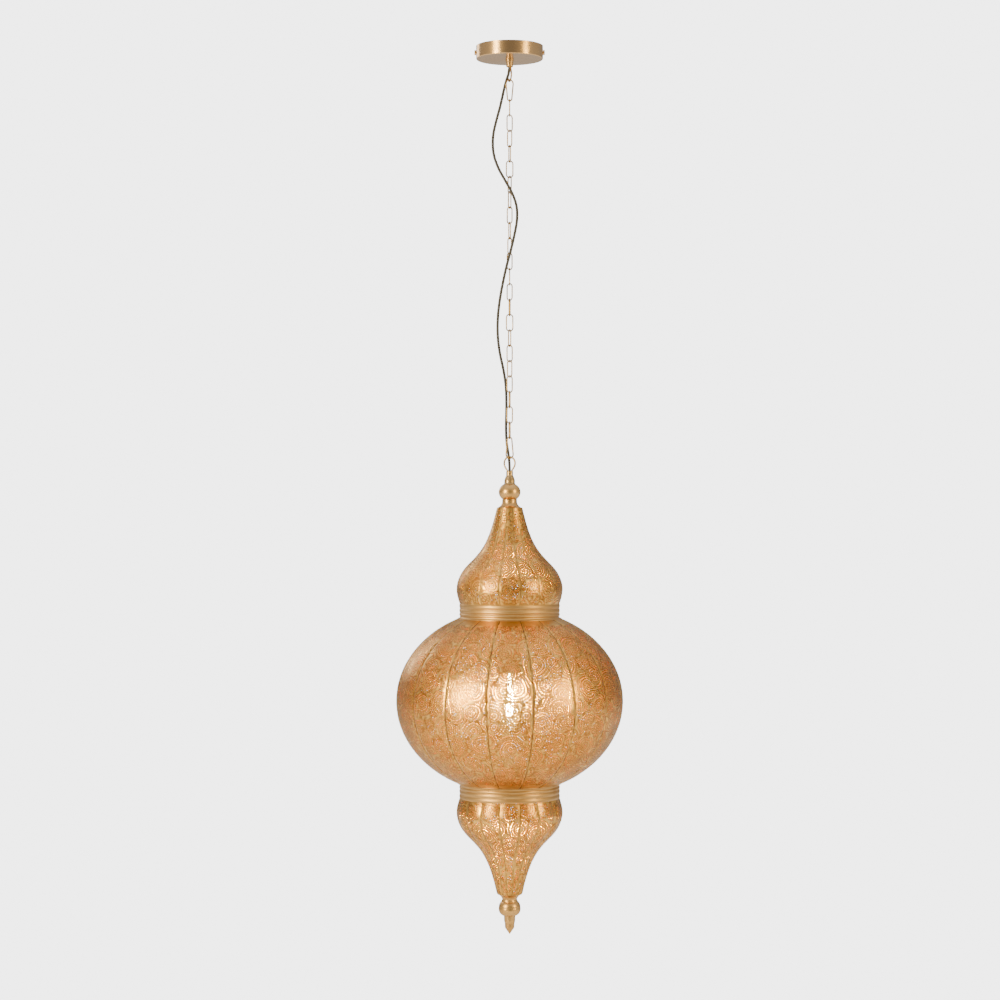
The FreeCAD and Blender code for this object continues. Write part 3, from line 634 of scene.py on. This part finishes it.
# clean and tarnished colour, smooth and rough, then the scales of clouds and grain, and the grain's stretch
finishes = {
    "sheet": metal("piercedBrass", (0.96, 0.585, 0.165), (0.72, 0.385, 0.09), 0.28, 0.42, 26.0, 500.0),
    "solder": metal("seamSolder", (0.24, 0.12, 0.045), (0.13, 0.06, 0.02), 0.50, 0.70, 60.0, 700.0),
    "inside": metal("rawBrassInside", (0.86, 0.62, 0.20), (0.76, 0.52, 0.14), 0.70, 0.85, 26.0, 500.0),
    "holder": metal("smokedBrass", (0.24, 0.13, 0.05), (0.14, 0.075, 0.03), 0.40, 0.60, 40.0, 500.0),
    "brass": metal("satinBrass", (0.70, 0.42, 0.155), (0.50, 0.27, 0.085), 0.29, 0.42, 30.0, 600.0),
    "band": metal("rolledBrass", (0.60, 0.36, 0.135), (0.43, 0.24, 0.08), 0.38, 0.52, 30.0, 500.0, (1, 1, 6)),
    "canopy": metal("canopyBrass", (0.78, 0.51, 0.255), (0.60, 0.36, 0.155), 0.17, 0.28, 14.0, 420.0,
                    (1, 1, 9), 0.08),
    "chain": metal("chainBrass", (0.50, 0.34, 0.17), (0.28, 0.18, 0.08), 0.32, 0.48, 90.0, 900.0),
    "steel": metal("zincSteel", (0.62, 0.62, 0.60), (0.46, 0.46, 0.45), 0.28, 0.45, 60.0, 900.0),
}


def mottled(name, first, second, scale, roughness):
    # A plain moulded material whose tone changes a little from place to place.
    material, tree, shader = newMaterial(name)
    place = tree.nodes.new("ShaderNodeTexCoord")
    noise = tree.nodes.new("ShaderNodeTexNoise")
    noise.inputs["Scale"].default_value = scale
    mix = tree.nodes.new("ShaderNodeMix")
    mix.data_type = "RGBA"
    mix.inputs[6].default_value = (*first, 1)
    mix.inputs[7].default_value = (*second, 1)
    link = tree.links.new
    link(place.outputs["Object"], noise.inputs["Vector"])
    link(noise.outputs["Fac"], mix.inputs["Factor"])
    link(mix.outputs[2], shader.inputs["Base Color"])
    shader.inputs["Roughness"].default_value = roughness
    return material, tree, shader, noise


finishes["plastic"] = mottled("terminalPlastic", (0.80, 0.78, 0.72), (0.70, 0.68, 0.62), 120.0, 0.45)[0]


def bulbGlass():
    # Clear glass as a dark skin that hardly covers what is behind it.
    made = mottled("bulbGlass", (0.030, 0.026, 0.020), (0.022, 0.018, 0.014), 30.0, 0.04)
    material, tree, shader, noise = made
    shader.inputs["Alpha"].default_value = 0.09
    shader.inputs["IOR"].default_value = 1.5
    return material


def warmGlow(name, strength):
    # Something that glows, the filaments lit from within and the stem with painted light: the glow's colour
    # changes a little along it.
    material, tree, shader, noise = mottled(name, (1.0, 0.85, 0.6), (1.0, 0.75, 0.45), 300.0, 0.5)
    glow = tree.nodes.new("ShaderNodeMix")
    glow.data_type = "RGBA"
    glow.inputs[6].default_value = (1.0, 0.72, 0.36, 1)
    glow.inputs[7].default_value = (1.0, 0.80, 0.50, 1)
    tree.links.new(noise.outputs["Fac"], glow.inputs["Factor"])
    tree.links.new(glow.outputs[2], shader.inputs["Emission Color"])
    shader.inputs["Emission Strength"].default_value = strength
    return material


def braid():
    # Textile sleeve: two sine waves cross on the cord's own UV map, and the higher one is the strand on top.
    # Its colour is darker where the strands dip, as painted shade in the gaps of the weave.
    material, tree, shader = newMaterial("cordBraid")
    n, link = tree.nodes, tree.links.new
    uv = n.new("ShaderNodeUVMap")
    uv.uv_map = "UVMap"
    split = n.new("ShaderNodeSeparateXYZ")
    link(uv.outputs["UV"], split.inputs["Vector"])
    waves = []
    for way in (1, -1):
        along = n.new("ShaderNodeMath")
        along.operation = "MULTIPLY"
        along.inputs[1].default_value = way * 2 * math.pi * cordRoute["weave"]
        link(split.outputs["Y"], along.inputs[0])
        around = n.new("ShaderNodeMath")
        around.operation = "MULTIPLY_ADD"
        around.inputs[1].default_value = math.pi * cordRoute["strands"]
        link(split.outputs["X"], around.inputs[0])
        link(along.outputs["Value"], around.inputs[2])
        wave = n.new("ShaderNodeMath")
        wave.operation = "SINE"
        link(around.outputs["Value"], wave.inputs[0])
        waves.append(wave)
    top = n.new("ShaderNodeMath")
    top.operation = "MAXIMUM"
    link(waves[0].outputs["Value"], top.inputs[0])
    link(waves[1].outputs["Value"], top.inputs[1])
    # painted shade: the colour darkens where the strand on top is low, in the gaps of the weave
    shade = n.new("ShaderNodeMapRange")
    shade.inputs["From Min"].default_value = -0.6
    link(top.outputs["Value"], shade.inputs["Value"])
    mix = n.new("ShaderNodeMix")
    mix.data_type = "RGBA"
    mix.inputs[6].default_value = (0.026, 0.024, 0.021, 1)
    mix.inputs[7].default_value = (0.052, 0.047, 0.041, 1)
    link(shade.outputs["Result"], mix.inputs["Factor"])
    link(mix.outputs[2], shader.inputs["Base Color"])
    uneven = n.new("ShaderNodeBump")
    uneven.inputs["Strength"].default_value = 0.35
    uneven.inputs["Distance"].default_value = 0.0003
    link(top.outputs["Value"], uneven.inputs["Height"])
    link(uneven.outputs["Normal"], shader.inputs["Normal"])
    shader.inputs["Roughness"].default_value = 0.75
    shader.inputs["Sheen Weight"].default_value = 0.1
    return material


def paintRecessShade(material, shade):
    # Painted shade: the sheet's colour darkens towards the shade colour as the tone at each point says, most
    # in the low ground round its holes and in the seam dips, and not on the raised ridges.
    tree = material.node_tree
    shader = tree.nodes["Principled BSDF"]
    link = tree.links.new
    tone = tree.nodes.new("ShaderNodeAttribute")
    tone.attribute_name = "tone"
    tint = tree.nodes.new("ShaderNodeMix")
    tint.data_type = "RGBA"
    tint.inputs[6].default_value = (*shade, 1)
    tint.inputs[7].default_value = (1, 1, 1, 1)
    link(tone.outputs["Fac"], tint.inputs["Factor"])
    product = tree.nodes.new("ShaderNodeMix")
    product.data_type = "RGBA"
    product.blend_type = "MULTIPLY"
    product.inputs["Factor"].default_value = 1.0
    link(shader.inputs["Base Color"].links[0].from_socket, product.inputs[6])
    link(tint.outputs[2], product.inputs[7])
    link(product.outputs[2], shader.inputs["Base Color"])


# the colour of the fullest painted shade, in the low ground round the holes
paintRecessShade(finishes["sheet"], (0.46, 0.37, 0.28))
finishes["inside"].node_tree.nodes["Principled BSDF"].inputs["Metallic"].default_value = 0.25
finishes["glass"] = bulbGlass()
finishes["filament"] = warmGlow("filamentGlow", 620.0)
# the stem is no lamp: its glow is painted light from the filaments round it
finishes["stem"] = warmGlow("stemPaintedGlow", 170.0)
finishes["cord"] = braid()


def paint(obj, *names):
    obj.data.materials.clear()
    for name in names:
        obj.data.materials.append(finishes[name])


cadFinish = {
    "canopy": ["canopy_cup"],
    "chain": ["canopy_loop", "lantern_loop", "upper_connector", "lower_connector"],
    "brass": ["canopy_screws", "top_ball", "top_cap", "bottom_neck", "bottom_ball", "finial",
              "upper_neck_ring", "lower_neck_ring"],
    "holder": ["holder_cap", "holder_body", "holder_ring"],
    "band": ["upper_band", "lower_band"],
    "sheet": ["dome", "globe", "bowl"],
    "plastic": ["terminal_block", "holder_contact"],
    "cord": ["supply_cord"],
    "glass": ["bulb_glass"],
    "stem": ["bulb_stem"],
    "filament": ["bulb_filaments"],
}
finishOf = {node: finish for finish, names in cadFinish.items() for node in names}
for name, obj in nodes.items():
    paint(obj, "chain" if name.startswith("chain_link") else finishOf.get(name, "steel"))
for part in domeParts + globeParts + bowlParts:
    if part.name.endswith("Seams"):
        paint(part, "solder")
    else:
        paint(part, "sheet", "inside")
for part in cordParts:
    paint(part, "cord")
print("finishes done")

studio = {
    "backdrop": 5.5,
    "skyStops": ((0.36, 1.05), (0.47, 0.42), (0.60, 0.34)),  # height and tone
    "sideways": (0.50, 1.45),  # strength in front and behind, and at the sides
    "aim": (0, 0, -1.0),
    "boxes": (
        ("leftBox", (-2.6, -2.4, -0.3), (0.8, 1.8), 170, (1.0, 0.83, 0.44)),
        ("rightBox", (2.8, -1.8, -0.3), (0.8, 1.8), 70, (1.0, 0.76, 0.27)),
        ("backBox", (-2.4, 3.0, 0.4), (1.2, 1.8), 25, (1.0, 0.90, 0.75)),
    ),
    "lampWatts": 42.0,
    "lampColour": (1.0, 0.79, 0.28),
    "lampRadius": 0.022,
    "lampHeight": -1.165,
    "floorHeight": -2.30,
    "floorRadius": 2.6,
    "floorCorners": 96,
    "cameraAt": (-0.017, -4.14, -0.802),
    "lens": 84.4,
}


def studioWorld():
    # A white backdrop, with softer light from above, a dim band at eye level for the metal to mirror, and
    # less of everything in front and behind than at the sides.
    world = bpy.data.worlds.new("studio")
    scene.world = world
    world.use_nodes = True
    n, link = world.node_tree.nodes, world.node_tree.links.new
    room = n["Background"]
    place = n.new("ShaderNodeTexCoord")
    split = n.new("ShaderNodeSeparateXYZ")
    link(place.outputs["Generated"], split.inputs["Vector"])
    ramp = n.new("ShaderNodeValToRGB")
    stops = ramp.color_ramp.elements
    stops[0].position, stops[0].color = 0.0, (0.95, 0.92, 0.87, 1)
    stops[1].position, stops[1].color = 1.0, (1.0, 0.98, 0.95, 1)
    for position, tone in studio["skyStops"]:
        stop = stops.new(position)
        stop.color = (tone, tone * 0.96, tone * 0.90, 1)
    height = n.new("ShaderNodeMapRange")
    height.inputs["From Min"].default_value = -1.0
    link(split.outputs["Z"], height.inputs["Value"])
    link(height.outputs["Result"], ramp.inputs["Fac"])
    link(ramp.outputs["Color"], room.inputs["Color"])
    sideways = n.new("ShaderNodeMath")
    sideways.operation = "ABSOLUTE"
    link(split.outputs["X"], sideways.inputs[0])
    upright = n.new("ShaderNodeMath")
    upright.operation = "ABSOLUTE"
    link(split.outputs["Z"], upright.inputs[0])
    farther = n.new("ShaderNodeMath")
    farther.operation = "MAXIMUM"
    link(sideways.outputs["Value"], farther.inputs[0])
    link(upright.outputs["Value"], farther.inputs[1])
    spread = n.new("ShaderNodeMapRange")
    spread.inputs["To Min"].default_value, spread.inputs["To Max"].default_value = studio["sideways"]
    link(farther.outputs["Value"], spread.inputs["Value"])
    link(spread.outputs["Result"], room.inputs["Strength"])
    backdrop = n.new("ShaderNodeBackground")
    backdrop.inputs["Strength"].default_value = studio["backdrop"]
    seen = n.new("ShaderNodeLightPath")
    mix = n.new("ShaderNodeMixShader")
    link(seen.outputs["Is Camera Ray"], mix.inputs["Fac"])
    link(room.outputs["Background"], mix.inputs[1])
    link(backdrop.outputs["Background"], mix.inputs[2])
    link(mix.outputs["Shader"], n["World Output"].inputs["Surface"])


def softbox(name, place, size, watts, colour):
    light = bpy.data.lights.new(name, "AREA")
    light.shape = "RECTANGLE"
    light.size, light.size_y = size
    light.energy = watts
    light.color = colour
    obj = bpy.data.objects.new(name, light)
    obj.location = place
    obj.rotation_euler = (Vector(studio["aim"]) - Vector(place)).to_track_quat("-Z", "Y").to_euler()
    scene.collection.objects.link(obj)


def bulbLight():
    # The light that the filaments throw on the inside of the sheets. It moves with the bulb.
    light = bpy.data.lights.new("lampGlow", "POINT")
    light.energy = studio["lampWatts"]
    light.color = studio["lampColour"]
    light.shadow_soft_size = studio["lampRadius"]
    lamp = bpy.data.objects.new("lampGlow", light)
    lamp.location = (0, 0, studio["lampHeight"])
    scene.collection.objects.link(lamp)
    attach(lamp, "bulb")


def paleFloor():
    corners = studio["floorCorners"]
    around = 2 * math.pi * np.arange(corners) / corners
    rim = np.stack([np.cos(around), np.sin(around), np.zeros(corners)], 1) * studio["floorRadius"]
    rim[:, 2] = studio["floorHeight"]
    mesh = bpy.data.meshes.new("floor")
    mesh.from_pydata(rim.tolist(), [], [list(range(corners))])
    floor = bpy.data.objects.new("floor", mesh)
    scene.collection.objects.link(floor)
    finishes["floor"] = mottled("floorPaint", (0.86, 0.86, 0.86), (0.84, 0.84, 0.84), 2.0, 0.8)[0]
    paint(floor, "floor")


def frontCamera():
    camera = bpy.data.objects.new("camera", bpy.data.cameras.new("camera"))
    camera.data.lens = studio["lens"]
    camera.data.sensor_width = 36
    camera.location = studio["cameraAt"]
    camera.rotation_euler = (math.pi / 2, 0, 0)
    scene.collection.objects.link(camera)
    scene.camera = camera


studioWorld()
for box in studio["boxes"]:
    softbox(*box)
bulbLight()
paleFloor()
frontCamera()
print("studio done")
